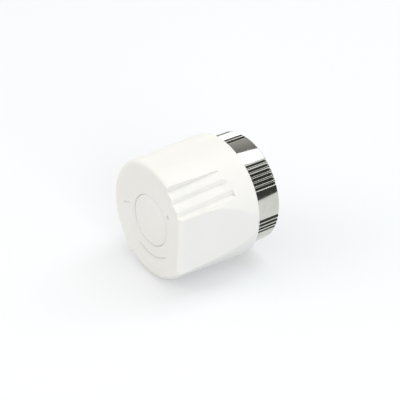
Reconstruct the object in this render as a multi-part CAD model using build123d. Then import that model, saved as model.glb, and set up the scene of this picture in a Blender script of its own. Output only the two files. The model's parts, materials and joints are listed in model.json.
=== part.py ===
from build123d import *
from math import cos, degrees, radians, sin, tan
import os

# Stations are distances from the open mouth of the nut towards the front face.
# The axis is Y: a station s lies at y = -s. Angles run from +X towards +Z.
# Radii grow outwards from the valve thread, and stations forwards from the nut's mouth.
# The photo gives a nut 38 mm across, a handle 42.7 mm across at its rim and 40.7 mm at its
# front, and a length of 38.6 mm, which the sizes below add up to.

# Union nut
thread_minor_diameter = 28.376
thread_length = 7.8
mouth_chamfer_depth = 0.45
mouth_chamfer_width = 0.8
relief_depth = 1.012
nut_wall_thickness = 4.812
nut_shoulder_length = 1.5
nut_edge_chamfer_width = 0.35
knurl_zone_count = 6
knurl_groove_count = 6
knurl_pitch_angle = 5.0
knurl_first_angle = 29.3
knurl_depth = 0.42
knurl_width_share = 0.76

# Handle shell
nut_rim_gap = 0.45
rim_wall_thickness = 1.9
rim_overlap_length = 1.3
side_taper_width = 1.0
dish_depth = 0.55
dish_ring_width = 6.2
front_edge_radius = 1.5
rim_edge_radius = 0.3
face_wall_thickness = 1.4
rear_chamber_step_width = 0.85
rear_chamber_length = 4.0
sleeve_stop_width = 0.7

# Grip: one flat, and above it a second flat with three finger grooves
flat_depth = 4.2
flat_slope_angle = 10.2
grip_depth = 2.6
grip_angle = 38.8
grip_slope_angle = 8.5
groove_depth = 1.1
groove_lean_angle = 2.2
groove_pitch_length = 4.27
first_groove_distance = 6.2
first_wall_angle = 60.2
steep_wall_width = 1.35
last_flank_width = 1.7
groove_length = 18.2
last_groove_length = 20.9
crest_radius = 0.7
runout_slope_angle = 31.0
runout_length = 3.5
flank_swell_share = 0.22

# Marks sunk in the face
mark_depth = 0.25
mark_width = 0.35
arc_mark_diameter = 25.8
arc_mark_start_angle = -117.5
arc_mark_sweep_angle = 68.0
minus_distance = 13.5
minus_place_angle = 178.9
minus_turn_angle = 28.0
minus_length = 3.6
plus_distance = 11.35
plus_place_angle = 33.0
plus_turn_angle = 14.0
plus_length = 1.6

# Face cap
cap_diameter = 17.6
cap_thickness = 0.7
cap_ledge_width = 1.0
cap_edge_radius = 0.35
cap_groove_width = 0.08

# Neck bush
neck_inset_width = 1.188
neck_wall_thickness = 2.0
neck_setback_length = 0.15
neck_lip_length = 0.8
neck_groove_depth = 0.6
bush_collar_width = 1.2
bush_collar_thickness = 0.9
bush_seat_thickness = 1.15

# Rings
nut_ring_thickness = 0.8
nut_ring_width = 1.95
nut_ring_gap_angle = 24.0
handle_ring_thickness = 0.8
handle_ring_width = 1.45
handle_ring_gap_angle = 20.0
handle_ring_seat_depth = 0.5
friction_ring_thickness = 1.0

# Base body
flange_thickness = 1.6
hub_wall_thickness = 1.6
hub_setback_length = 1.15
web_thickness = 1.4
web_hole_gap = 1.3
guide_step_width = 1.3
guide_wall_thickness = 1.1
guide_overhang_length = 1.6
stop_lug_half_angle = 8.0
stop_lug_end_gap = 0.2
stop_lug_side_gap = 0.4

# Setting range and cam
setting_half_angle = 150.0
setting_half_length = 2.0
cam_groove_margin_angle = 6.0
cam_groove_step_count = 26
cam_start_count = 2
cam_pin_diameter = 1.4
cam_pin_length = 5.1
first_cam_pin_angle = 90.0
cam_sleeve_wall_thickness = 1.8
cam_sleeve_end_width = 1.07
cam_sleeve_setback_length = 3.2
cam_groove_depth = 0.95
sleeve_key_count = 3
sleeve_key_width = 3.0
sleeve_key_height = 0.7
sleeve_key_angle = 90.0

# Limit pins
limit_pin_diameter = 2.0
limit_pin_inset_width = 1.6
limit_pin_seat_depth = 3.0
limit_pin_end_gap = 0.7
limit_play_angle = 0.3

# Carriage
carriage_floor_thickness = 2.2
carriage_wall_thickness = 1.12
carriage_ledge_width = 2.0
spring_cap_thickness = 0.9
spring_cap_width = 1.6
spring_cap_setback_length = 0.7
cap_ring_thickness = 0.4
cap_ring_depth = 0.5
cap_ring_width = 0.9
cap_ring_gap_angle = 22.0

# Sensor
sensor_plate_thickness = 0.8
sensor_flange_thickness = 0.8
sensor_body_length = 4.9
sensor_wall_thickness = 0.5
diaphragm_thickness = 0.6
guide_bush_wall_thickness = 0.99
guide_bush_length = 2.8
piston_diameter = 3.1
piston_length = 3.5

# Thrust cup and its adjusting screw
thrust_flange_thickness = 1.2
thrust_hub_wall_thickness = 1.2
thrust_hub_length = 2.9
thrust_recess_gap = 0.4
thrust_recess_depth = 1.3
screw_seat_width = 1.0
screw_length = 1.8
screw_slot_width = 0.8
screw_slot_depth = 0.5

# Springs
return_spring_wire_diameter = 0.5
return_spring_turn_count = 2.75
overload_spring_wire_diameter = 0.9
overload_spring_turn_count = 3.25
overload_spring_length = 4.8

# Clearances shared by the fits
turning_gap = 0.2
guide_gap = 0.08
side_gap = 0.05
end_gap = 0.05
piston_gap = 0.06
nut_end_gap = 0.4
front_gap = 0.2
spring_gap = 0.45
spring_bore_gap = 0.55
thrust_gap = 0.5
overrun = 1.0

# Stations worked out from the sizes above
cam_lead = 360 * setting_half_length / setting_half_angle
cam_groove_angle = 2 * (setting_half_angle + cam_groove_margin_angle)
cam_groove_height = cam_lead * cam_groove_angle / 360
cam_groove_width = cam_pin_diameter + 2 * side_gap
cam_sleeve_length = cam_groove_height + cam_groove_width + 2 * cam_sleeve_end_width
thread_start = mouth_chamfer_depth
thread_end = thread_start + thread_length
neck_start = thread_end + neck_setback_length
nut_ring_start = neck_start + neck_lip_length
nut_ring_end = nut_ring_start + nut_ring_thickness
nut_end = nut_ring_end + nut_shoulder_length
rim_start = nut_end - rim_overlap_length
handle_ring_start = nut_end + nut_end_gap
handle_ring_end = handle_ring_start + handle_ring_thickness
flange_start = handle_ring_end + end_gap
flange_end = flange_start + flange_thickness
rear_chamber_start = flange_end + end_gap
rear_chamber_end = rear_chamber_start + rear_chamber_length
web_start = flange_end + rear_chamber_length - hub_setback_length
web_end = web_start + web_thickness
sleeve_start = rear_chamber_end + cam_sleeve_setback_length
sleeve_end = sleeve_start + cam_sleeve_length
guide_end = sleeve_end + guide_overhang_length
cam_pin_station = (sleeve_start + sleeve_end) / 2
carriage_start = cam_pin_station - carriage_floor_thickness / 2
carriage_floor_end = carriage_start + carriage_floor_thickness
sensor_plate_end = carriage_floor_end + sensor_plate_thickness
sensor_flange_end = sensor_plate_end + sensor_flange_thickness
sensor_front = sensor_flange_end + sensor_body_length
spring_cap_start = sensor_flange_end + overload_spring_length
spring_cap_end = spring_cap_start + spring_cap_thickness
carriage_end = spring_cap_end + spring_cap_setback_length
front_chamber_end = carriage_end + setting_half_length + front_gap
face_station = front_chamber_end + face_wall_thickness
front_station = face_station + dish_depth
handle_length = front_station - rim_start
piston_start = sensor_plate_end - piston_length
thrust_flange_end = piston_start + thrust_recess_depth
thrust_flange_start = thrust_flange_end - thrust_flange_thickness
screw_start = piston_start - screw_length
bush_end = web_start - bush_seat_thickness
bush_collar_start = flange_start + (flange_thickness - bush_collar_thickness) / 2
friction_ring_start = flange_start + (flange_thickness - friction_ring_thickness) / 2

# Radii worked out from the sizes above
thread_radius = thread_minor_diameter / 2
relief_radius = thread_radius + relief_depth
nut_radius = thread_radius + nut_wall_thickness
rim_bore_radius = nut_radius + nut_rim_gap
rim_radius = rim_bore_radius + rim_wall_thickness
front_radius = rim_radius - side_taper_width
dish_radius = front_radius - dish_ring_width
flat_distance = front_radius - flat_depth
grip_distance = front_radius - grip_depth
groove_floor_distance = grip_distance - groove_depth
flank_width = groove_pitch_length - steep_wall_width
second_groove_distance = first_groove_distance - groove_pitch_length
third_groove_distance = second_groove_distance - groove_pitch_length
rear_chamber_radius = rim_bore_radius - rear_chamber_step_width
ring_groove_radius = rim_bore_radius + handle_ring_seat_depth
flange_radius = rim_bore_radius - turning_gap
friction_groove_radius = rim_bore_radius - side_gap - friction_ring_thickness
limit_pin_distance = rear_chamber_radius - limit_pin_inset_width
neck_radius = thread_radius - neck_inset_width
socket_radius = neck_radius - neck_wall_thickness
bush_collar_radius = neck_radius + bush_collar_width
hub_radius = neck_radius + hub_wall_thickness
guide_outer_radius = hub_radius - guide_step_width
guide_inner_radius = guide_outer_radius - guide_wall_thickness
sleeve_bore_radius = guide_outer_radius + turning_gap
sleeve_outer_radius = sleeve_bore_radius + cam_sleeve_wall_thickness
front_chamber_radius = sleeve_outer_radius - sleeve_stop_width
cam_groove_floor_radius = sleeve_bore_radius + cam_groove_depth
carriage_radius = guide_inner_radius - guide_gap
carriage_bore_radius = carriage_radius - carriage_wall_thickness
carriage_hole_radius = carriage_bore_radius - carriage_ledge_width
overload_spring_radius = carriage_bore_radius - spring_bore_gap - overload_spring_wire_diameter / 2
sensor_flange_radius = carriage_bore_radius - guide_gap
sensor_body_radius = overload_spring_radius - overload_spring_wire_diameter / 2 - spring_gap
guide_bush_bore_radius = piston_diameter / 2 + piston_gap
guide_bush_radius = guide_bush_bore_radius + guide_bush_wall_thickness
thrust_flange_radius = carriage_hole_radius - thrust_gap
thrust_recess_radius = guide_bush_radius + thrust_recess_gap
thrust_hub_radius = thrust_recess_radius + thrust_hub_wall_thickness
screw_radius = thrust_recess_radius - screw_seat_width
web_hole_radius = thrust_hub_radius + web_hole_gap
return_spring_radius = web_hole_radius + spring_gap + return_spring_wire_diameter / 2
cap_radius = cap_diameter / 2
cap_skirt_radius = cap_radius - cap_ledge_width


def at_station(station):
    """A plane across the axis, with x along +X, y along +Z and its normal to the front."""
    return Plane(origin=(0, -station, 0), x_dir=(1, 0, 0), z_dir=(0, -1, 0))


def around(angle, shape):
    """The shape turned about the axis from +X towards +Z."""
    return Rotation(0, -angle, 0) * shape


def spread(count, first_angle, shape):
    """Copies of the shape evenly spaced about the axis."""
    return [around(first_angle + 360 * index / count, shape) for index in range(count)]


def polar(radius, angle):
    return (radius * cos(radians(angle)), radius * sin(radians(angle)))


def turned(*points):
    """A solid of revolution from (radius, station) points."""
    outline = Polyline(*[(radius, -station) for radius, station in points], close=True)
    return revolve(make_face(outline), axis=Axis.Y)


def tube(inner_radius, outer_radius, start, end):
    return turned((inner_radius, start), (outer_radius, start), (outer_radius, end), (inner_radius, end))


def disc(radius, start, end):
    return extrude(at_station(start) * Circle(radius), amount=end - start)


def wedge(radius, half_angle):
    """A flat triangle from the axis, whose outer corners lie at the radius on both sides of +X."""
    return make_face(Polyline((0, 0), polar(radius, -half_angle), polar(radius, half_angle), close=True))


def split_ring(inner_radius, outer_radius, start, end, gap_angle, middle_angle):
    """A flat ring with a gap of gap_angle about middle_angle."""
    ring = tube(inner_radius, outer_radius, start, end)
    gap_face = at_station(start - overrun) * wedge(outer_radius + overrun, gap_angle / 2)
    return ring - around(middle_angle, extrude(gap_face, amount=end - start + 2 * overrun))


def coil_spring(wire_diameter, radius, turns, start, end):
    """A wire helix whose ends reach the two stations."""
    height = end - start - wire_diameter
    path = at_station(start + wire_diameter / 2) * Helix(pitch=height / turns, height=height, radius=radius)
    edge = path.edges()[0]
    section = Plane(origin=edge @ 0, z_dir=edge % 0) * Circle(wire_diameter / 2)
    return sweep(section, path=edge, is_frenet=True)


def beyond_plane(distance, slope_angle, lean_angle, angle, lowest, highest):
    """Everything outside a plane that slopes outwards to the rear, between two sides that lean up."""
    block_align = (Align.MIN, Align.CENTER, Align.MIN)
    block = Box(rim_radius, 2 * handle_length, highest - lowest, align=block_align)
    place = Location((distance, -front_station, lowest), (lean_angle, 0, -slope_angle))
    return around(angle, place * block)


def shell_body():
    """The outer form: a slight cone with a flat side, a shallow dish in front and a round front edge."""
    body = turned(
        (0, rim_start),
        (rim_radius, rim_start),
        (front_radius, front_station),
        (dish_radius, face_station),
        (0, face_station),
    )
    body = body - beyond_plane(flat_distance, flat_slope_angle, 0, 0, -2 * rim_radius, 2 * rim_radius)
    face_middle = Vertex(0, -face_station, 0)
    past_dish = (dish_radius + flat_distance) / 2
    near_front = body.edges().filter_by(lambda edge: edge.center().Y < dish_depth - face_station)
    outer_edges = near_front.filter_by(lambda edge: edge.distance_to(face_middle) > past_dish)
    flat_sides = body.edges().filter_by(GeomType.ELLIPSE).sort_by(SortBy.LENGTH)[-2:]
    body = fillet([*outer_edges, *flat_sides], front_edge_radius)
    rim_edges = body.edges().filter_by(GeomType.CIRCLE).group_by(Axis.Y)[-1]
    return fillet(rim_edges, rim_edge_radius)


def flank(start, end):
    """A groove's flank between two points, swelling outwards by a share of the groove's depth."""
    middle = (Vector(*start) + Vector(*end)) / 2
    return ThreePointArc(start, middle + Vector(groove_depth * flank_swell_share, 0), end)


def steep_wall(bottom):
    return Line((grip_distance, bottom + steep_wall_width), (groove_floor_distance, bottom))


def slow_flank(bottom):
    return flank((groove_floor_distance, bottom), (grip_distance, bottom - flank_width))


def groove_section(*walls):
    """A cutter across the second flat, as if that faced +X, with its groove walls from the top down."""
    top = walls[0] @ 0
    end = walls[-1] @ 1
    outside = rim_radius + 2 * overrun
    rest = Polyline(end, (outside, end.Y), (outside, top.Y), top)
    section = make_face([*walls, rest])
    crests = section.vertices().filter_by(lambda corner: end.Y < corner.Y < top.Y)
    crests = crests.filter_by(lambda corner: corner.X > grip_distance - groove_depth / 2)
    return fillet(crests, crest_radius) if crests else section


def slanted(section, start, slope_angle, length):
    """A section carried back from a place along the grip, moving away from the axis and up as it goes."""
    grip_slope = tan(radians(grip_slope_angle))
    lean = tan(radians(groove_lean_angle))
    face = Location((grip_slope * start, start, lean * start)) * (at_station(front_station) * section)
    direction = Vector(tan(radians(slope_angle)), 1, lean)
    return around(grip_angle, extrude(face, amount=length * direction.length, dir=direction))


def finger_grooves():
    """Three saw-toothed grooves: the upper two run out to the rear, and the third has an end wall."""
    first_wall_length = rim_radius + overrun - groove_floor_distance
    first_top = first_groove_distance + first_wall_length / tan(radians(first_wall_angle))
    first_wall = Line((rim_radius + overrun, first_top), (groove_floor_distance, first_groove_distance))
    lip = (grip_distance + groove_depth, third_groove_distance - 2 * last_flank_width)
    first = [first_wall, slow_flank(first_groove_distance)]
    second = [steep_wall(second_groove_distance), slow_flank(second_groove_distance)]
    third = [steep_wall(third_groove_distance), flank((groove_floor_distance, third_groove_distance), lip)]
    all_three = groove_section(*first, *second, *third)
    return [
        slanted(all_three, -overrun, grip_slope_angle, groove_length + overrun),
        slanted(groove_section(*first), groove_length, runout_slope_angle, runout_length),
        slanted(groove_section(*second), groove_length, runout_slope_angle, runout_length),
        slanted(groove_section(*third), groove_length, grip_slope_angle, last_groove_length - groove_length),
    ]


def face_marks():
    """A sunk arc below the cap, a minus on the left and a plus on the right."""
    arc_radius = arc_mark_diameter / 2
    half_sweep = arc_mark_sweep_angle / 2
    arc_band = Circle(arc_radius + mark_width / 2) - Circle(arc_radius - mark_width / 2)
    arc_sector = wedge(front_radius / cos(radians(half_sweep)), half_sweep)
    arc = arc_band & (Rotation(0, 0, arc_mark_start_angle + half_sweep) * arc_sector)
    minus = Rectangle(minus_length, mark_width)
    plus = Rectangle(plus_length, mark_width) + Rectangle(mark_width, plus_length)
    minus_place = Location((*polar(minus_distance, minus_place_angle), 0), (0, 0, minus_turn_angle))
    plus_place = Location((*polar(plus_distance, plus_place_angle), 0), (0, 0, plus_turn_angle))
    floor = at_station(face_station - mark_depth)
    return extrude(floor * (arc + minus_place * minus + plus_place * plus), amount=mark_depth + overrun)


def handle_cavity():
    """The shell's stepped bore, and the groove for the ring that holds it on the base."""
    bore = turned(
        (0, rim_start - overrun),
        (rim_bore_radius, rim_start - overrun),
        (rim_bore_radius, rear_chamber_start),
        (rear_chamber_radius, rear_chamber_start),
        (rear_chamber_radius, rear_chamber_end),
        (sleeve_outer_radius, rear_chamber_end),
        (sleeve_outer_radius, sleeve_end),
        (front_chamber_radius, sleeve_end),
        (front_chamber_radius, front_chamber_end),
        (0, front_chamber_end),
    )
    return bore + tube(rim_bore_radius - overrun, ring_groove_radius, handle_ring_start, handle_ring_end)


def handle_shell():
    cap_hole = disc(cap_skirt_radius, front_chamber_end - overrun, front_station + overrun)
    cap_recess = disc(cap_radius + cap_groove_width, face_station - cap_thickness, front_station)
    lip_distance = third_groove_distance - last_flank_width
    grip_place = (grip_distance, grip_slope_angle, groove_lean_angle, grip_angle)
    shell = shell_body() - beyond_plane(*grip_place, lip_distance, first_groove_distance)
    shell = shell - finger_grooves() - face_marks()
    shell = shell - handle_cavity() - cap_hole - cap_recess
    shell = shell - sleeve_key_blocks(rear_chamber_end - overrun)
    return shell - limit_pins()


def sleeve_key_blocks(start):
    """The drive keys on the outside of the cam sleeve, from the given station forwards."""
    inner = sleeve_outer_radius - sleeve_key_height
    outer = sleeve_outer_radius + sleeve_key_height
    bar = Box(outer, 2 * front_station, sleeve_key_width, align=(Align.MIN, Align.CENTER, Align.CENTER))
    key = tube(inner, outer, start, sleeve_end) & bar
    return spread(sleeve_key_count, sleeve_key_angle, key)


def face_cap():
    plate = disc(cap_radius, face_station - cap_thickness, face_station)
    plate = fillet(plate.edges().group_by(Axis.Y)[0], cap_edge_radius)
    return plate + disc(cap_skirt_radius, front_chamber_end, face_station - cap_thickness)


def limit_pins():
    """Two pins in the rear chamber, one on each side of the point opposite the stop lug."""
    pin_half_angle = degrees(limit_pin_diameter / 2 / limit_pin_distance)
    free_angle = setting_half_angle + stop_lug_half_angle + pin_half_angle + limit_play_angle
    reach = rear_chamber_length - limit_pin_end_gap
    outline = at_station(rear_chamber_end - reach) * Circle(limit_pin_diameter / 2)
    pin = Location((limit_pin_distance, 0, 0)) * extrude(outline, amount=reach + limit_pin_seat_depth)
    return [around(side * free_angle, pin) for side in (1, -1)]


def handle_ring():
    inner = ring_groove_radius - handle_ring_width
    outer = ring_groove_radius
    return split_ring(inner, outer, handle_ring_start, handle_ring_end, handle_ring_gap_angle, -90)


def cam_groove():
    """One helical groove: clockwise turns of the handle carry its pin towards the valve."""
    step_angle = cam_groove_angle / cam_groove_step_count
    inner = sleeve_bore_radius - overrun
    outer = cam_groove_floor_radius / cos(radians(step_angle / 2))
    section = Location(((inner + outer) / 2, 0, 0)) * Rectangle(outer - inner, cam_groove_width)
    sections = []
    for step in range(cam_groove_step_count + 1):
        angle = step * step_angle - cam_groove_angle / 2
        station = cam_pin_station - cam_lead * angle / 360
        sections.append(around(angle, Location((0, -station, 0)) * section))
    return loft(sections, ruled=True) + around(cam_groove_angle / 2, cam_groove_entry())


def cam_groove_entry():
    """The straight way in for a pin, from the sleeve's rear end to the start of its groove."""
    start = sleeve_start - overrun
    end = cam_pin_station - cam_groove_height / 2
    length = end + cam_groove_width / 2 - start
    entry_align = (Align.MIN, Align.MAX, Align.CENTER)
    entry = Box(cam_groove_floor_radius, length, cam_groove_width, align=entry_align)
    return Location((0, -start, 0)) * entry


def cam_sleeve():
    """The sleeve keyed into the handle, whose grooves drive the carriage pins."""
    sleeve = tube(sleeve_bore_radius, sleeve_outer_radius, sleeve_start, sleeve_end)
    sleeve = sleeve + sleeve_key_blocks(sleeve_start)
    return sleeve - spread(cam_start_count, first_cam_pin_angle, cam_groove())


def cam_pins():
    pin_align = (Align.CENTER, Align.CENTER, Align.MAX)
    pin = Cylinder(cam_pin_diameter / 2, cam_pin_length, rotation=(0, 90, 0), align=pin_align)
    pin = Location((cam_groove_floor_radius - side_gap, -cam_pin_station, 0)) * pin
    return spread(cam_start_count, first_cam_pin_angle, pin)


def carriage():
    """The cup that slides in the base's guide tube and carries the sensor."""
    floor = tube(carriage_hole_radius, carriage_radius, carriage_start, carriage_floor_end)
    wall = tube(carriage_bore_radius, carriage_radius, carriage_floor_end, carriage_end)
    groove_radius = carriage_bore_radius + cap_ring_depth
    groove_end = spring_cap_end + cap_ring_thickness
    ring_groove = tube(carriage_hole_radius, groove_radius, spring_cap_end, groove_end)
    return floor + wall - ring_groove - cam_pins()


def spring_cap():
    inner = carriage_bore_radius - spring_cap_width
    return tube(inner, carriage_bore_radius, spring_cap_start, spring_cap_end)


def cap_ring():
    outer = carriage_bore_radius + cap_ring_depth
    end = spring_cap_end + cap_ring_thickness
    return split_ring(outer - cap_ring_width, outer, spring_cap_end, end, cap_ring_gap_angle, 90)


def nut_outline():
    """The nut's round outline with its zones of straight knurling cut in."""
    half_angle = knurl_pitch_angle * knurl_width_share
    outside = nut_radius + knurl_depth
    corners = [polar(nut_radius - knurl_depth, 0), polar(outside, -half_angle), polar(outside, half_angle)]
    notch = make_face(Polyline(*corners, close=True))
    notches = []
    for zone in range(knurl_zone_count):
        for groove in range(knurl_groove_count):
            angle = knurl_first_angle + 360 * zone / knurl_zone_count + groove * knurl_pitch_angle
            notches.append(Rotation(0, 0, angle) * notch)
    return Circle(nut_radius) - notches


def union_nut():
    bar = extrude(at_station(0) * nut_outline(), amount=nut_end)
    blank = turned(
        (0, 0),
        (nut_radius - nut_edge_chamfer_width, 0),
        (nut_radius, nut_edge_chamfer_width),
        (nut_radius, nut_end - nut_edge_chamfer_width),
        (nut_radius - nut_edge_chamfer_width, nut_end),
        (0, nut_end),
    )
    bore = turned(
        (0, 0),
        (thread_radius + mouth_chamfer_width, 0),
        (thread_radius, thread_start),
        (thread_radius, thread_end),
        (relief_radius, thread_end),
        (relief_radius, nut_ring_end),
        (neck_radius + turning_gap, nut_ring_end),
        (neck_radius + turning_gap, nut_end),
        (0, nut_end),
    )
    return (bar & blank) - bore


def nut_ring():
    inner = neck_radius - neck_groove_depth
    return split_ring(inner, inner + nut_ring_width, nut_ring_start, nut_ring_end, nut_ring_gap_angle, -90)


def neck_bush():
    """The brass neck that the nut pulls against the valve, with its collar held in the base."""
    return turned(
        (socket_radius, neck_start),
        (neck_radius, neck_start),
        (neck_radius, nut_ring_start),
        (neck_radius - neck_groove_depth, nut_ring_start),
        (neck_radius - neck_groove_depth, nut_ring_end),
        (neck_radius, nut_ring_end),
        (neck_radius, bush_collar_start),
        (bush_collar_radius, bush_collar_start),
        (bush_collar_radius, bush_collar_start + bush_collar_thickness),
        (neck_radius, bush_collar_start + bush_collar_thickness),
        (neck_radius, bush_end),
        (socket_radius, bush_end),
    )


def base_body():
    """The fixed plastic body: flange, hub, web and the slotted guide tube."""
    body = turned(
        (neck_radius, flange_start),
        (flange_radius, flange_start),
        (flange_radius, friction_ring_start),
        (friction_groove_radius, friction_ring_start),
        (friction_groove_radius, friction_ring_start + friction_ring_thickness),
        (flange_radius, friction_ring_start + friction_ring_thickness),
        (flange_radius, flange_end),
        (hub_radius, flange_end),
        (hub_radius, web_start),
        (guide_outer_radius, web_start),
        (guide_outer_radius, guide_end),
        (guide_inner_radius, guide_end),
        (guide_inner_radius, web_end),
        (web_hole_radius, web_end),
        (web_hole_radius, web_start),
        (socket_radius, web_start),
        (socket_radius, bush_end),
        (neck_radius, bush_end),
    )
    collar_end = bush_collar_start + bush_collar_thickness
    collar_seat = tube(socket_radius, bush_collar_radius, bush_collar_start, collar_end)
    return body - collar_seat - guide_slots() + stop_lug()


def guide_slots():
    """Straight slots, open at the front, that guide the cam pins and stop the carriage from turning."""
    start = cam_pin_station - setting_half_length - cam_groove_width / 2 - end_gap
    slot_align = (Align.MIN, Align.MAX, Align.CENTER)
    slot = Box(rim_radius, guide_end - start + overrun, cam_groove_width, align=slot_align)
    return spread(cam_start_count, first_cam_pin_angle, Location((0, -start, 0)) * slot)


def stop_lug():
    """The lug on the base's hub that meets the limit pins at both ends of the setting range."""
    lug_end = web_start - stop_lug_end_gap
    band = tube(hub_radius - end_gap, rear_chamber_radius - stop_lug_side_gap, flange_end, lug_end)
    sector = at_station(flange_end) * wedge(2 * rear_chamber_radius, stop_lug_half_angle)
    return band & extrude(sector, amount=lug_end - flange_end)


def friction_ring():
    section_radius = friction_ring_thickness / 2
    middle = (friction_groove_radius + section_radius, -friction_ring_start - section_radius)
    return revolve(Plane.XY * Location(middle) * Circle(section_radius), axis=Axis.Y)


def sensor_plate():
    return tube(guide_bush_radius, sensor_flange_radius, carriage_floor_end, sensor_plate_end)


def sensor_can():
    """The capsule's drawn cup with its rim flange."""
    inner = sensor_body_radius - sensor_wall_thickness
    return turned(
        (inner, sensor_plate_end),
        (sensor_flange_radius, sensor_plate_end),
        (sensor_flange_radius, sensor_flange_end),
        (sensor_body_radius, sensor_flange_end),
        (sensor_body_radius, sensor_front),
        (0, sensor_front),
        (0, sensor_front - sensor_wall_thickness),
        (inner, sensor_front - sensor_wall_thickness),
    )


def sensor_diaphragm():
    radius = sensor_body_radius - sensor_wall_thickness
    return disc(radius, sensor_plate_end, sensor_plate_end + diaphragm_thickness)


def sensor_filling():
    radius = sensor_body_radius - sensor_wall_thickness
    return disc(radius, sensor_plate_end + diaphragm_thickness, sensor_front - sensor_wall_thickness)


def sensor_guide_bush():
    bush_start = sensor_plate_end - guide_bush_length
    return tube(guide_bush_bore_radius, guide_bush_radius, bush_start, sensor_plate_end)


def sensor_piston():
    return disc(piston_diameter / 2, piston_start, sensor_plate_end)


def thrust_cup():
    """The cup between the sensor's piston and the valve's pin."""
    hub_start = thrust_flange_end - thrust_hub_length
    return turned(
        (screw_radius, hub_start),
        (thrust_hub_radius, hub_start),
        (thrust_hub_radius, thrust_flange_start),
        (thrust_flange_radius, thrust_flange_start),
        (thrust_flange_radius, thrust_flange_end),
        (thrust_recess_radius, thrust_flange_end),
        (thrust_recess_radius, piston_start),
        (screw_radius, piston_start),
    )


def closing_screw():
    """The slotted screw in the thrust cup that sets the closing point and meets the valve's pin."""
    slot = Box(4 * screw_radius, 2 * screw_slot_depth, screw_slot_width)
    return disc(screw_radius, screw_start, piston_start) - Location((0, -screw_start, 0)) * slot


def return_spring():
    wire, turns = return_spring_wire_diameter, return_spring_turn_count
    return coil_spring(wire, return_spring_radius, turns, web_end, thrust_flange_start)


def overload_spring():
    wire, turns = overload_spring_wire_diameter, overload_spring_turn_count
    return coil_spring(wire, overload_spring_radius, turns, sensor_flange_end, spring_cap_start)


pieces = {
    "handle_shell": handle_shell,
    "face_cap": face_cap,
    "cam_sleeve": cam_sleeve,
    "limit_pins": limit_pins,
    "handle_ring": handle_ring,
    "union_nut": union_nut,
    "nut_ring": nut_ring,
    "neck_bush": neck_bush,
    "base_body": base_body,
    "friction_ring": friction_ring,
    "carriage": carriage,
    "cam_pins": cam_pins,
    "spring_cap": spring_cap,
    "cap_ring": cap_ring,
    "overload_spring": overload_spring,
    "sensor_can": sensor_can,
    "sensor_plate": sensor_plate,
    "sensor_diaphragm": sensor_diaphragm,
    "sensor_filling": sensor_filling,
    "sensor_guide_bush": sensor_guide_bush,
    "sensor_piston": sensor_piston,
    "thrust_cup": thrust_cup,
    "closing_screw": closing_screw,
    "return_spring": return_spring,
}

os.makedirs("parts", exist_ok=True)
for name, build_piece in pieces.items():
    made = build_piece()
    solids = made if isinstance(made, list) else [made]
    solids = [solid for shape in solids for solid in shape.solids()]
    whole = Compound(children=solids) if len(solids) > 1 else solids[0]
    print(name, len(solids), round(whole.volume, 3), whole.is_valid)
    export_step(whole, f"parts/{name}.step")
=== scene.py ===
import json
import math

import bmesh
import bpy
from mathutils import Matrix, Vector


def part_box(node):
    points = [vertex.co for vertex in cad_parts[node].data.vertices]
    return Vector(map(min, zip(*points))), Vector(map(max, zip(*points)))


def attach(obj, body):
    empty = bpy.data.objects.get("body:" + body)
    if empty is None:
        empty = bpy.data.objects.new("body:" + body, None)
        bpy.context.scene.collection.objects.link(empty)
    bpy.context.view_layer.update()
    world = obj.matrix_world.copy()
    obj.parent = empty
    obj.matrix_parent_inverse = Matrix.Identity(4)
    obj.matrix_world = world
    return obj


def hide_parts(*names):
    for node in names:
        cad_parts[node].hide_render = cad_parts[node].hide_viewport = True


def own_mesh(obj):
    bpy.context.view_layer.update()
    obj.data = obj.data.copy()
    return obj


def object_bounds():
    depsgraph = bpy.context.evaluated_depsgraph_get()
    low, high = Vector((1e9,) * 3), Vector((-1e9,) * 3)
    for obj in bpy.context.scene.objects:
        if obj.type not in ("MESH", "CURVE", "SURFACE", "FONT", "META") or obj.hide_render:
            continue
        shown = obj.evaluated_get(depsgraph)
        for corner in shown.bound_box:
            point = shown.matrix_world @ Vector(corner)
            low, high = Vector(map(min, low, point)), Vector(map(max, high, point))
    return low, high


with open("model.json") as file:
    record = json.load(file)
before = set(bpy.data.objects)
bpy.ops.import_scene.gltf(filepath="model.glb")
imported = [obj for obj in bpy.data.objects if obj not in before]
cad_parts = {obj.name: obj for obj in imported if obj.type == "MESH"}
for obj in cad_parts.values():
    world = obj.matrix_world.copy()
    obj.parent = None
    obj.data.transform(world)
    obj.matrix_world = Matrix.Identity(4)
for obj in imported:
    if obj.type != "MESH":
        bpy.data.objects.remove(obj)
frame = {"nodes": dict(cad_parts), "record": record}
cad_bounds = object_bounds()

# Lengths are metres and angles degrees. The axis of the head is Y: the nut's mouth lies at y = 0,
# the front face at the lowest y, and angles about the axis run from +X towards +Z.
MM = 0.001

# Photograph's view: where the camera stands and where the front edge's centre is in the picture
IMAGE_SIZE = 400
VIEW_AZIMUTH = 55.09
VIEW_ELEVATION = 32.9
VIEW_DISTANCE = 0.405
FOCAL_PIXELS = 1257.6
FRONT_CENTRE_PIXEL = (149.27, 220.95)
SENSOR_WIDTH = 36.0

# Lamps
WHITE = (1.0, 1.0, 1.0)
WARM_WHITE = (1.0, 0.88, 0.70)
COOL_WHITE = (0.97, 0.99, 1.0)
LAMP_TARGET = (0, -0.02, 0)

# Surround: its light on the head, and what the plating mirrors of it, which is bright but for a
# dark ceiling. DARK_SIDE and DIM_SIDE are the X parts of the directions between which the ceiling
# goes from dark to dim.
SURROUND_COLOUR = (0.985, 0.975, 0.955)
FILL_LEVEL = 0.8
MIRRORED_LEVEL = 1.6
DARK_DIRECTION = (0.293, 0.48, 0.827)
DARK_HALF_ANGLE = 66.6
DARK_BLUR_ANGLE = 8.0
DARK_LEVEL = 0.06
DARK_SIDE = 0.1
DIM_LEVEL = 0.45
DIM_SIDE = -0.6

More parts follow.
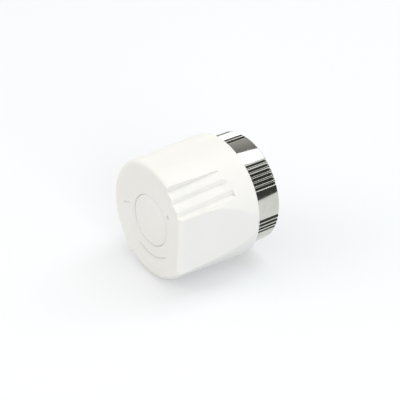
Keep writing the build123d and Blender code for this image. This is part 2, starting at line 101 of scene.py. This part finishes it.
# Floor, with a glow that only the camera and mirrors see
FLOOR_HALF_SIZE = 1.6
FLOOR_DARK = (0.585, 0.615, 0.66)
FLOOR_LIGHT = (0.605, 0.635, 0.68)
FLOOR_GLOW = 0.3
FLOOR_GLOW_COLOUR = (1.0, 0.97, 0.90)

# Noise values between which a patchy material changes from one state to the other
PATCH_LOW = 0.3
PATCH_HIGH = 0.7

# Moulded edges, which are eased a little more in the shading than in the mesh
SOFT_EDGE = 0.4 * MM
SOFT_EDGE_SAMPLES = 8

# Union nut, as in the CAD, with the thread that the CAD leaves plain
THREAD_MINOR_RADIUS = 14.188 * MM
THREAD_MAJOR_RADIUS = 14.98 * MM
THREAD_PITCH = 1.5 * MM
THREAD_END = 8.25 * MM
THREAD_ROWS_PER_PITCH = 8
THREAD_TRIANGLE_SHARE = 0.78
THREAD_OVERCUT = 1.12
MOUTH_RADIUS = 14.988 * MM
MOUTH_DEPTH = 0.45 * MM
RELIEF_RADIUS = 15.2 * MM
SHOULDER_START = 10.0 * MM
SHOULDER_RADIUS = 13.2 * MM
KNURL_ZONES = 6
KNURL_GROOVES = 6
KNURL_PITCH = 5.0
KNURL_FIRST = 29.3
KNURL_DEPTH = 0.6 * MM
KNURL_WIDTH_SHARE = 0.76
STEPS_PER_PITCH = 20
NUT_SMOOTH_ANGLE = 28

# Nut's outer edges: their size, and how far from the end and how far under the outer radius each
# ring of the rounding lies, as shares of that size. The inner edges are plain chamfers.
NUT_EDGE = 0.35 * MM
NUT_EDGE_END = 1.3
NUT_EDGE_RINGS = ((0.105, 0.85), (0.5, 0.42), (1.0, 0.05), (NUT_EDGE_END, 0.0))
NUT_INNER_EDGE = 0.105 * MM

# Vertices of the nut that are nearer to each other than this are merged, and shorter edges go
MERGE_DISTANCE = 1e-7
DEGENERATE_LENGTH = 1e-8

# Springs, as in the CAD: wire thickness and turns
OVERLOAD_WIRE = 0.9 * MM
OVERLOAD_TURNS = 3.25
RETURN_WIRE = 0.5 * MM
RETURN_TURNS = 2.75
WIRE_SIDES = 14
STEPS_PER_TURN = 48
WIRE_SMOOTH_ANGLE = 40


def larger(tree, first, second):
    """The larger of two outputs of a node tree."""
    made = tree.nodes.new("ShaderNodeMath")
    made.operation = "MAXIMUM"
    tree.links.new(first, made.inputs[0])
    tree.links.new(second, made.inputs[1])
    return made.outputs[0]


def seen_rays(tree):
    """Two outputs that are 1 for rays from the camera, and for those by way of mirror or glass."""
    rays = tree.nodes.new("ShaderNodeLightPath").outputs
    return rays["Is Camera Ray"], larger(tree, rays["Is Glossy Ray"], rays["Is Transmission Ray"])


class Look:
    """A material being built: its node tree, its shader and object coordinates."""

    def __init__(self, name, **values):
        self.material = bpy.data.materials.new(name)
        self.material.use_nodes = True
        self.tree = self.material.node_tree
        self.shader = self.tree.nodes["Principled BSDF"]
        self.place = self.add("ShaderNodeTexCoord").outputs["Object"]
        self.normal = None
        self.set(**values)

    def set(self, **values):
        """Sets the shader's own sockets by their names, with underscores for blanks."""
        for name, value in values.items():
            self.shader.inputs[name.replace("_", " ")].default_value = value

    def add(self, kind, **settings):
        made = self.tree.nodes.new(kind)
        for name, value in settings.items():
            setattr(made, name, value)
        return made

    def link(self, start, end):
        self.tree.links.new(start, end)

    def noise(self, scale, detail, roughness=0.5):
        """Noise in object space, at a scale for each axis or one for all."""
        mapping = self.add("ShaderNodeMapping")
        scales = scale if hasattr(scale, "__len__") else (scale,) * 3
        mapping.inputs["Scale"].default_value = scales
        self.link(self.place, mapping.inputs["Vector"])
        made = self.add("ShaderNodeTexNoise")
        made.inputs["Scale"].default_value = 1.0
        made.inputs["Detail"].default_value = detail
        made.inputs["Roughness"].default_value = roughness
        self.link(mapping.outputs["Vector"], made.inputs["Vector"])
        return made.outputs["Fac"]

    def patches(self, scale, detail, colours, low, high):
        """Noise that goes from the first colour to the second between two of its values."""
        made = self.add("ShaderNodeValToRGB")
        made.color_ramp.elements[0].position = low
        made.color_ramp.elements[1].position = high
        for element, colour in zip(made.color_ramp.elements, colours):
            element.color = (*colour, 1)
        self.link(self.noise(scale, detail), made.inputs["Fac"])
        return made.outputs["Color"]

    def colour(self, scale, detail, dark, light, low=PATCH_LOW, high=PATCH_HIGH):
        made = self.patches(scale, detail, (dark, light), low, high)
        self.link(made, self.shader.inputs["Base Color"])

    def rough(self, scale, detail, least, most, low=PATCH_LOW, high=PATCH_HIGH):
        made = self.patches(scale, detail, ((least,) * 3, (most,) * 3), low, high)
        self.link(made, self.shader.inputs["Roughness"])

    def bump(self, height, scale, detail, roughness=0.5, strength=1.0):
        """Adds bumps of a height in metres on top of those added before."""
        made = self.add("ShaderNodeBump")
        made.inputs["Distance"].default_value = height
        made.inputs["Strength"].default_value = strength
        self.link(self.noise(scale, detail, roughness), made.inputs["Height"])
        if self.normal is not None:
            self.link(self.normal, made.inputs["Normal"])
        self.normal = made.outputs["Normal"]
        self.link(self.normal, self.shader.inputs["Normal"])


def moulded_plastic(name, dark, light, roughness):
    """Injection moulded plastic: faint shade changes, a fine spark-eroded grain and soft gloss."""
    look = Look(name, Specular_IOR_Level=0.42, IOR=1.47)
    look.set(
        Subsurface_Weight=0.3, Subsurface_Scale=1 * MM, Subsurface_Radius=(1.0, 0.95, 0.9)
    )
    look.colour(scale=90, detail=4, dark=dark, light=light, low=0.35, high=0.65)
    look.rough(scale=260, detail=5, least=roughness - 0.05, most=roughness + 0.05)
    eased = look.add("ShaderNodeBevel", samples=SOFT_EDGE_SAMPLES)
    eased.inputs["Radius"].default_value = SOFT_EDGE
    look.normal = eased.outputs["Normal"]
    look.bump(height=0.006 * MM, scale=9000, detail=2, roughness=0.6)
    look.bump(height=0.03 * MM, scale=420, detail=1, strength=0.35)
    return look.material


def polished_chrome(name, dark, light):
    """Bright plating with a very slight ripple from the turned brass below it."""
    look = Look(name, Metallic=1.0)
    look.colour(scale=300, detail=3, dark=dark, light=light)
    look.rough(scale=700, detail=4, least=0.05, most=0.13, low=0.35)
    look.bump(height=0.004 * MM, scale=(500, 2600, 500), detail=2, strength=0.5)
    return look.material


def turned_metal(name, dark, light, roughness):
    """Machined metal whose fine tool rings run round the Y axis."""
    look = Look(name, Metallic=1.0)
    look.colour(scale=400, detail=4, dark=dark, light=light)
    look.rough(scale=900, detail=3, least=roughness - 0.06, most=roughness + 0.08)
    look.bump(height=0.005 * MM, scale=(120, 7000, 120), detail=1, strength=0.8)
    return look.material


def drawn_metal(name, dark, light, roughness):
    """Wire and pressed sheet: small scratches and dull patches."""
    look = Look(name, Metallic=1.0)
    look.colour(scale=800, detail=5, dark=dark, light=light)
    look.rough(scale=1500, detail=5, least=roughness - 0.08, most=roughness + 0.1)
    look.bump(height=0.004 * MM, scale=(5200, 700, 700), detail=3, strength=0.6)
    return look.material


def soft_rubber(name, dark, light):
    """Matt black rubber with a fine grain."""
    look = Look(name, Specular_IOR_Level=0.3)
    look.colour(scale=1200, detail=4, dark=dark, light=light)
    look.rough(scale=600, detail=3, least=0.55, most=0.75)
    look.bump(height=0.008 * MM, scale=5000, detail=3)
    return look.material


def clouded_wax(name, dark, light):
    """Wax that light enters a little way."""
    look = Look(name, Subsurface_Weight=0.3, Subsurface_Scale=2 * MM)
    look.colour(scale=500, detail=4, dark=dark, light=light)
    look.rough(scale=900, detail=3, least=0.4, most=0.6)
    look.bump(height=0.012 * MM, scale=1500, detail=3)
    return look.material


def make_looks():
    """The materials by the record's material slots, each between a dark and a light shade."""
    return {
        "white_plastic": moulded_plastic(
            "white_handle_plastic", (0.83, 0.827, 0.80), (0.845, 0.842, 0.82), roughness=0.42
        ),
        "base_plastic": moulded_plastic(
            "base_plastic", (0.74, 0.74, 0.71), (0.78, 0.78, 0.75), roughness=0.48
        ),
        "guide_plastic": moulded_plastic(
            "slide_plastic", (0.66, 0.66, 0.62), (0.70, 0.70, 0.66), roughness=0.38
        ),
        "nut_chrome": polished_chrome(
            "nut_chrome_plating", (0.58, 0.58, 0.53), (0.66, 0.66, 0.61)
        ),
        "neck_brass": turned_metal(
            "turned_brass", (0.62, 0.45, 0.20), (0.78, 0.60, 0.30), roughness=0.28
        ),
        "screw_brass": turned_metal(
            "screw_brass", (0.66, 0.49, 0.24), (0.80, 0.63, 0.33), roughness=0.25
        ),
        "spring_steel": drawn_metal(
            "drawn_spring_steel", (0.42, 0.42, 0.43), (0.62, 0.62, 0.64), roughness=0.32
        ),
        "pin_steel": drawn_metal(
            "ground_pin_steel", (0.55, 0.55, 0.57), (0.70, 0.70, 0.72), roughness=0.18
        ),
        "capsule_metal": drawn_metal(
            "drawn_capsule_metal", (0.62, 0.62, 0.61), (0.76, 0.76, 0.75), roughness=0.3
        ),
        "seal_rubber": soft_rubber("seal_rubber", (0.015, 0.015, 0.016), (0.035, 0.035, 0.036)),
        "filling": clouded_wax("wax_filling", (0.72, 0.62, 0.36), (0.86, 0.78, 0.52)),
    }


def dress_cad_nodes(looks):
    """Gives each CAD node the material of its slot."""
    for part in frame["record"]["subparts"]:
        materials = frame["nodes"][part["node"]].data.materials
        materials.clear()
        materials.append(looks[part["material_slot"]])


def join_rings(mesh, rings):
    """Makes the faces between each ring of vertices and the next."""
    for first, second in zip(rings, rings[1:]):
        for here in range(len(first)):
            after = (here + 1) % len(first)
            mesh.faces.new((first[here], first[after], second[after], second[here]))


def finished(name, mesh, material, smooth_angle):
    """Turns a bmesh into an object whose edges sharper than the angle stay crisp."""
    bmesh.ops.recalc_face_normals(mesh, faces=mesh.faces)
    data = bpy.data.meshes.new(name)
    mesh.to_mesh(data)
    mesh.free()
    data.shade_smooth()
    data.set_sharp_from_angle(angle=math.radians(smooth_angle))
    data.materials.append(material)
    made = bpy.data.objects.new(name, data)
    bpy.context.collection.objects.link(made)
    return made


def knurl_dip(angle):
    """How far the nut's surface dips at an angle, as a share of the knurl's depth."""
    zone_angle = 360 / KNURL_ZONES
    offset = (angle - KNURL_FIRST + KNURL_PITCH / 2) % zone_angle
    groove = int(offset // KNURL_PITCH)
    if groove >= KNURL_GROOVES:
        return 0.0
    from_middle = abs(offset - (groove + 0.5) * KNURL_PITCH)
    half_width = KNURL_PITCH * KNURL_WIDTH_SHARE / 2
    return max(0.0, 1 - from_middle / half_width)


def thread_dip(turns):
    """The thread's depth as a share, which repeats each turn: a triangle with its tip cut off."""
    from_middle = abs(turns % 1 - 0.5)
    return min(1.0, max(0.0, THREAD_OVERCUT * (1 - 2 * from_middle / THREAD_TRIANGLE_SHARE)))


def nut_rings(length, outer_radius):
    """The nut's closed section, as functions of the angle that give a radius and a depth."""

    def outside(depth, inset):
        """inset is how far the edge's rounding has brought the surface under the outer radius."""
        return lambda angle: (outer_radius - max(inset, KNURL_DEPTH * knurl_dip(angle)), depth)

    def plain(depth, radius):
        return lambda angle: (radius, depth)

    def threaded(row):
        def ring(angle):
            turns = row / THREAD_ROWS_PER_PITCH + angle / 360
            depth = min(max((turns - 1) * THREAD_PITCH, 0.0), THREAD_END)
            chamfer_height = MOUTH_RADIUS - THREAD_MINOR_RADIUS
            chamfer_radius = MOUTH_RADIUS - chamfer_height * depth / MOUTH_DEPTH
            thread_height = THREAD_MAJOR_RADIUS - THREAD_MINOR_RADIUS
            thread_radius = THREAD_MINOR_RADIUS + thread_height * thread_dip(turns)
            return max(thread_radius, chamfer_radius), depth
        return ring

    edge = [(NUT_EDGE * along, NUT_EDGE * inset) for along, inset in NUT_EDGE_RINGS]
    end_radius = outer_radius - NUT_EDGE * NUT_EDGE_END
    last_row = int(THREAD_ROWS_PER_PITCH * (THREAD_END / THREAD_PITCH + 1)) + 1
    return [
        plain(0, end_radius),
        *[outside(along, inset) for along, inset in edge],
        *[outside(length - along, inset) for along, inset in reversed(edge)],
        plain(length, end_radius),
        plain(length, SHOULDER_RADIUS + NUT_INNER_EDGE),
        plain(length - NUT_INNER_EDGE, SHOULDER_RADIUS),
        plain(SHOULDER_START + NUT_INNER_EDGE, SHOULDER_RADIUS),
        plain(SHOULDER_START, SHOULDER_RADIUS + NUT_INNER_EDGE),
        plain(SHOULDER_START, RELIEF_RADIUS),
        plain(THREAD_END + NUT_INNER_EDGE, RELIEF_RADIUS),
        *[threaded(row) for row in range(last_row, -1, -1)],
    ]


def add_nut(material):
    """The plated union nut: knurled zones, eased edges and a helical thread in its mouth."""
    low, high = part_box("union_nut")
    count = int(360 / KNURL_PITCH * STEPS_PER_PITCH)
    mesh = bmesh.new()
    rings = []
    for ring in nut_rings(length=high.y - low.y, outer_radius=high.x):
        vertices = []
        for step in range(count):
            angle = 360 * step / count
            radius, depth = ring(angle)
            x = radius * math.cos(math.radians(angle))
            z = radius * math.sin(math.radians(angle))
            vertices.append(mesh.verts.new((x, -depth, z)))
        rings.append(vertices)
    join_rings(mesh, rings + rings[:1])
    bmesh.ops.remove_doubles(mesh, verts=mesh.verts, dist=MERGE_DISTANCE)
    bmesh.ops.dissolve_degenerate(mesh, edges=mesh.edges, dist=DEGENERATE_LENGTH)
    nut = finished("union_nut_knurled", mesh, material, NUT_SMOOTH_ANGLE)
    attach(nut, "nut")
    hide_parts("union_nut")


def build_spring(node_name, wire, turns, material):
    """A wire helix between the CAD spring's ends, which starts at +X at its rear end."""
    low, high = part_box(node_name)
    radius = high.x - wire / 2
    height = high.y - low.y - wire
    rise_per_radian = height / (math.tau * turns)
    mesh = bmesh.new()
    rings = []
    for step in range(round(turns * STEPS_PER_TURN) + 1):
        angle = math.tau * step / STEPS_PER_TURN
        outward = Vector((math.cos(angle), 0, math.sin(angle)))
        forward = Vector((-math.sin(angle), -rise_per_radian / radius, math.cos(angle)))
        across = forward.normalized().cross(outward)
        middle = radius * outward
        middle.y = high.y - wire / 2 - rise_per_radian * angle
        vertices = []
        for side in range(WIRE_SIDES):
            turn = math.tau * side / WIRE_SIDES
            direction = math.cos(turn) * outward + math.sin(turn) * across
            vertices.append(mesh.verts.new(middle + wire / 2 * direction))
        rings.append(vertices)
    join_rings(mesh, rings)
    mesh.faces.new(rings[0])
    mesh.faces.new(rings[-1])
    return finished(node_name + "_coil", mesh, material, WIRE_SMOOTH_ANGLE)


def add_spring(node_name, body, wire, turns, material):
    """A wire spring in place of the CAD spring, attached to its body."""
    spring = build_spring(node_name, wire, turns, material)
    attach(spring, body)
    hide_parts(node_name)
    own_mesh(spring)


def add_camera():
    """A camera where the photograph's stood, with the front's centre on its own pixel."""
    azimuth, elevation = math.radians(VIEW_AZIMUTH), math.radians(VIEW_ELEVATION)
    towards = Vector((
        math.sin(azimuth) * math.cos(elevation),
        -math.cos(azimuth) * math.cos(elevation),
        math.sin(elevation),
    ))
    front_centre = Vector((0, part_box("handle_shell")[0].y, 0))
    data = bpy.data.cameras.new("camera")
    data.sensor_width = SENSOR_WIDTH
    data.lens = FOCAL_PIXELS * SENSOR_WIDTH / IMAGE_SIZE
    data.shift_x = 0.5 - FRONT_CENTRE_PIXEL[0] / IMAGE_SIZE
    data.shift_y = FRONT_CENTRE_PIXEL[1] / IMAGE_SIZE - 0.5
    camera = bpy.data.objects.new("camera", data)
    camera.location = front_centre + VIEW_DISTANCE * towards
    camera.rotation_euler = towards.to_track_quat("Z", "Y").to_euler()
    bpy.context.collection.objects.link(camera)
    bpy.context.scene.camera = camera


def add_floor():
    """A pale floor that the camera sees as nearly white, and that keeps the head's shadow."""
    level = cad_bounds[0].z
    size = FLOOR_HALF_SIZE
    corners = [
        (-size, -size, level), (size, -size, level), (size, size, level), (-size, size, level)
    ]
    data = bpy.data.meshes.new("floor")
    data.from_pydata(corners, [], [(0, 1, 2, 3)])
    floor = bpy.data.objects.new("floor", data)
    bpy.context.collection.objects.link(floor)
    look = Look("pale_floor", Specular_IOR_Level=0.1, Roughness=0.8)
    look.set(Emission_Color=(*FLOOR_GLOW_COLOUR, 1))
    look.colour(scale=3, detail=3, dark=FLOOR_DARK, light=FLOOR_LIGHT)
    glow = look.add("ShaderNodeMath", operation="MULTIPLY")
    glow.inputs[1].default_value = FLOOR_GLOW
    look.link(larger(look.tree, *seen_rays(look.tree)), glow.inputs[0])
    look.link(glow.outputs[0], look.shader.inputs["Emission Strength"])
    data.materials.append(look.material)


def add_lamp(name, place, width, depth, power, colour):
    """A soft rectangular lamp that points at the head."""
    data = bpy.data.lights.new(name, "AREA")
    data.color = colour
    data.shape = "RECTANGLE"
    data.size = width
    data.size_y = depth
    data.energy = power
    lamp = bpy.data.objects.new(name, data)
    lamp.location = place
    aim = Vector(LAMP_TARGET) - Vector(place)
    lamp.rotation_euler = aim.to_track_quat("-Z", "Y").to_euler()
    lamp.visible_camera = False
    bpy.context.collection.objects.link(lamp)


def add_surround():
    """A world that lights the head evenly and that the camera sees as white.

    What polished metal mirrors of it is bright but for a dark ceiling behind and above the head,
    which gives the plating its dark bands.
    """
    world = bpy.data.worlds.new("studio")
    bpy.context.scene.world = world
    world.use_nodes = True
    tree = world.node_tree
    background = tree.nodes["Background"]
    background.inputs["Color"].default_value = (*SURROUND_COLOUR, 1)

    def add(kind, **settings):
        made = tree.nodes.new(kind)
        for name, value in settings.items():
            setattr(made, name, value)
        return made

    def fixed(made, **values):
        """Sets a node's own sockets by their names, with underscores for blanks."""
        for name, value in values.items():
            made.inputs[name.replace("_", " ")].default_value = value

    direction = add("ShaderNodeTexCoord").outputs["Generated"]
    along = add("ShaderNodeVectorMath", operation="DOT_PRODUCT")
    along.inputs[1].default_value = Vector(DARK_DIRECTION).normalized()
    tree.links.new(direction, along.inputs[0])

    sides = add("ShaderNodeSeparateXYZ")
    tree.links.new(direction, sides.inputs["Vector"])
    ceiling = add("ShaderNodeMapRange")
    fixed(ceiling, From_Min=DARK_SIDE, From_Max=DIM_SIDE, To_Min=DARK_LEVEL, To_Max=DIM_LEVEL)
    tree.links.new(sides.outputs["X"], ceiling.inputs["Value"])

    mirrored = add("ShaderNodeMapRange", interpolation_type="SMOOTHSTEP")
    fixed(
        mirrored,
        From_Min=math.cos(math.radians(DARK_HALF_ANGLE + DARK_BLUR_ANGLE)),
        From_Max=math.cos(math.radians(DARK_HALF_ANGLE - DARK_BLUR_ANGLE)),
        To_Min=MIRRORED_LEVEL,
    )
    tree.links.new(along.outputs["Value"], mirrored.inputs["Value"])
    tree.links.new(ceiling.outputs["Result"], mirrored.inputs["To Max"])

    camera_ray, polished_ray = seen_rays(tree)
    lit = add("ShaderNodeMix", data_type="FLOAT")
    fixed(lit, A=FILL_LEVEL)
    tree.links.new(polished_ray, lit.inputs["Factor"])
    tree.links.new(mirrored.outputs["Result"], lit.inputs["B"])
    shown = add("ShaderNodeMix", data_type="FLOAT")
    fixed(shown, B=1.0)
    tree.links.new(camera_ray, shown.inputs["Factor"])
    tree.links.new(lit.outputs["Result"], shown.inputs["A"])
    tree.links.new(shown.outputs["Result"], background.inputs["Strength"])


looks = make_looks()
dress_cad_nodes(looks)
add_nut(looks["nut_chrome"])
add_spring(
    "overload_spring", body="carriage", wire=OVERLOAD_WIRE,
    turns=OVERLOAD_TURNS,
    material=looks["spring_steel"],
)
add_spring(
    "return_spring", body="base", wire=RETURN_WIRE,
    turns=RETURN_TURNS,
    material=looks["spring_steel"],
)

add_camera()
add_floor()
add_lamp(
    "overhead", place=(0.02, 0.40, 0.72), width=0.36, depth=0.8, power=1.75, colour=COOL_WHITE
)
add_lamp(
    "front_fill", place=(-0.35, -0.8, 0.45), width=0.6, depth=0.6, power=1.8, colour=WARM_WHITE
)
add_lamp(
    "side_fill", place=(0.8, -0.25, 0.35), width=0.5, depth=0.5, power=2.3, colour=WHITE
)
add_surround()
bpy.context.scene.view_settings.view_transform = "Standard"
